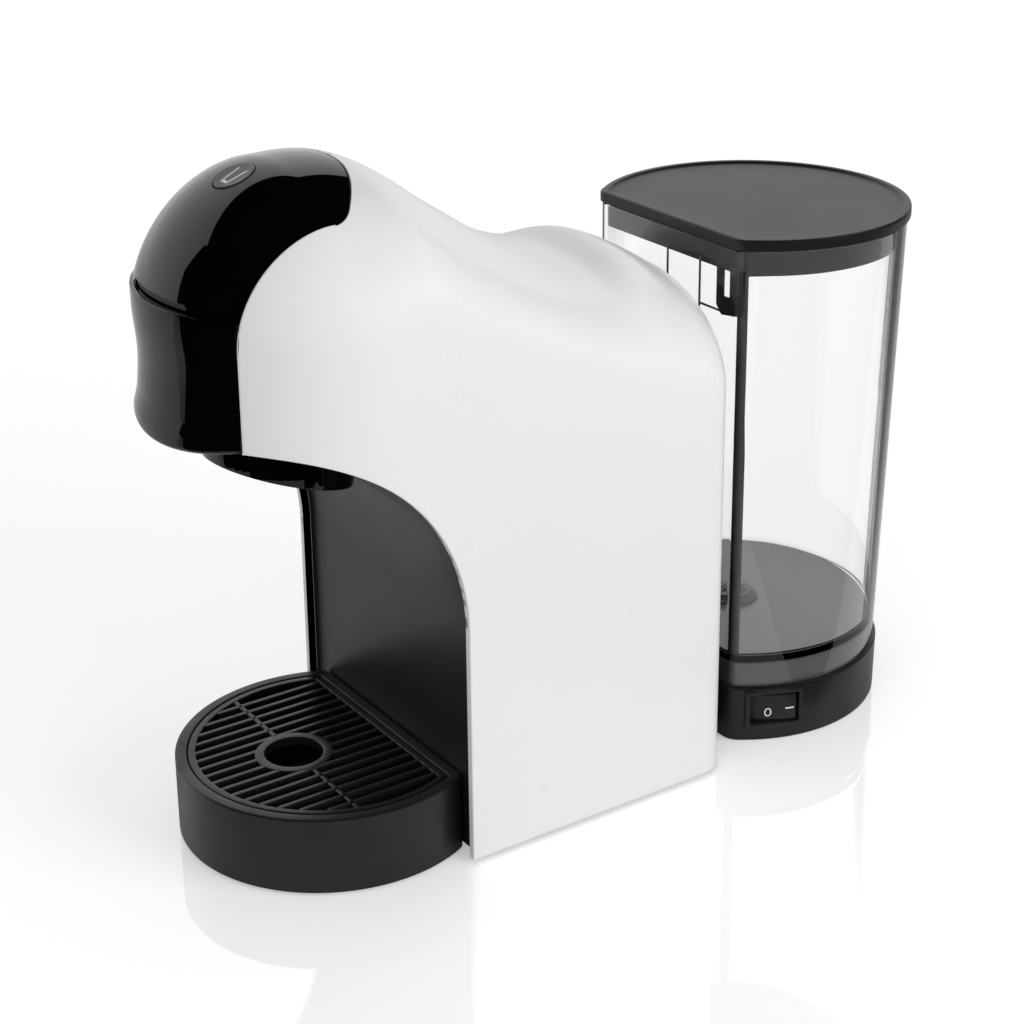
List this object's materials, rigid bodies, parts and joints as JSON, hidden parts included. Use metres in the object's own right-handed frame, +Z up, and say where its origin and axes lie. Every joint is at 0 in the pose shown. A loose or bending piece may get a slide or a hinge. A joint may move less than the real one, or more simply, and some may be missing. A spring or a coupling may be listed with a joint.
{
  "type": "pod coffee machine",
  "caption": "Compact pod coffee machine with a lever head, a pod drawer, a drip tray under an arch and a lift-off water tank on a rear dock.",
  "frame": {"origin": "middle of the footprint on the worktop", "axes": "+Z up, -Y the front where the cup stands, +X to the right seen from the front"},
  "size_m": [0.115, 0.3014, 0.2369],
  "materials": {
    "white_gloss": "glossy",
    "black_gloss": "glossy",
    "black_satin": "satin",
    "charcoal": "satin",
    "dark_lid": "satin",
    "grey_plastic": "matte",
    "clear_tank": "glossy",
    "steel": "brushed",
    "aluminium": "cast",
    "rubber_black": "matte",
    "silicone_red": "satin",
    "hose_white": "satin",
    "pcb_green": "satin",
    "pump_brown": "satin",
    "ceramic": "matte"
  },
  "bodies": {
    "machine": {"outer_shell": "white_gloss", "inner_front_panel": "black_satin", "rear_panel": "black_satin", "base_plate": "charcoal", "rubber_feet": "rubber_black", "base_screws": "steel", "brew_frame": "grey_plastic", "hinge_pin": "steel", "brew_tube": "hose_white", "thermoblock": "aluminium", "thermostats": "ceramic", "thermoblock_bracket": "steel", "pump_body": "pump_brown", "pump_mounts": "rubber_black", "pump_cradle": "grey_plastic", "flow_meter": "hose_white", "suction_hose": "hose_white", "pressure_hose": "hose_white", "control_board": "pcb_green", "board_bracket": "grey_plastic", "tank_dock": "charcoal", "tank_inlet": "grey_plastic", "inlet_seal": "rubber_black", "switch_housing": "black_satin", "cord_grommet": "rubber_black"},
    "lever": {"lever_cover": "black_gloss", "lever_frame": "grey_plastic", "button_board": "pcb_green", "lever_screws": "steel"},
    "button": {"brew_button": "black_satin"},
    "drawer": {"drawer_front": "black_gloss", "drawer_tray": "grey_plastic", "drawer_screws": "steel", "pod_holder": "black_satin"},
    "needle_carrier": {"needle_block": "grey_plastic", "needle": "steel", "needle_seal": "silicone_red"},
    "rocker": {"switch_rocker": "black_satin"},
    "tank": {"water_tank": "clear_tank", "tank_sump": "grey_plastic", "inlet_filter": "grey_plastic"},
    "valve": {"tank_valve": "grey_plastic", "valve_spring": "steel"},
    "lid": {"tank_lid": "dark_lid"},
    "tray": {"drip_tray": "black_satin"},
    "grid": {"drip_grid": "black_satin"},
    "piston": {"pump_piston": "steel", "piston_spring": "steel"},
    "rotor": {"flow_rotor": "ceramic"}
  },
  "joints": [
    {"name": "lever_hinge", "type": "hinge", "parent": "machine", "child": "lever", "pos_m": [0, -0.07105, 0.222], "axis": [-1, 0, 0], "range_deg": [0, 70]},
    {"name": "button_press", "type": "slide", "parent": "lever", "child": "button", "axis": [0, 0.3939, -0.9191], "range_m": [0, 0.0012], "stiffness_N_per_m": 400},
    {"name": "drawer_slide", "type": "slide", "parent": "machine", "child": "drawer", "axis": [0, -1, 0], "range_m": [0, 0.057]},
    {"name": "needle_slide", "type": "slide", "parent": "machine", "child": "needle_carrier", "axis": [0, 0, 1], "range_m": [0, 0.0071]},
    {"name": "rocker_tilt", "type": "hinge", "parent": "machine", "child": "rocker", "pos_m": [0.04722, 0.06901, 0.01385], "axis": [0, 0, 1], "range_deg": [0, 16]},
    {"name": "tank_lift", "type": "slide", "parent": "machine", "child": "tank", "axis": [0, 0, 1], "range_m": [0, 0.12]},
    {"name": "valve_slide", "type": "slide", "parent": "tank", "child": "valve", "axis": [0, 0, 1], "range_m": [0, 0.0015], "stiffness_N_per_m": 120, "springref_m": -0.003, "deforming": ["valve_spring"]},
    {"name": "lid_lift", "type": "slide", "parent": "tank", "child": "lid", "axis": [0, 0, 1], "range_m": [0, 0.06]},
    {"name": "tray_slide", "type": "slide", "parent": "machine", "child": "tray", "axis": [0, -1, 0], "range_m": [0, 0.09]},
    {"name": "grid_lift", "type": "slide", "parent": "tray", "child": "grid", "axis": [0, 0, 1], "range_m": [0, 0.04]},
    {"name": "piston_stroke", "type": "slide", "parent": "machine", "child": "piston", "axis": [0, 0, 1], "range_m": [0, 0.003], "stiffness_N_per_m": 900, "deforming": ["piston_spring"]},
    {"name": "rotor_spin", "type": "hinge", "parent": "machine", "child": "rotor", "pos_m": [0.022, 0.00395, 0.012], "axis": [0, 0, 1], "continuous": true}
  ],
  "couplings": [
    {"joint": "needle_slide", "follows": "lever_hinge", "m_per_rad": 0.0057296}
  ]
}
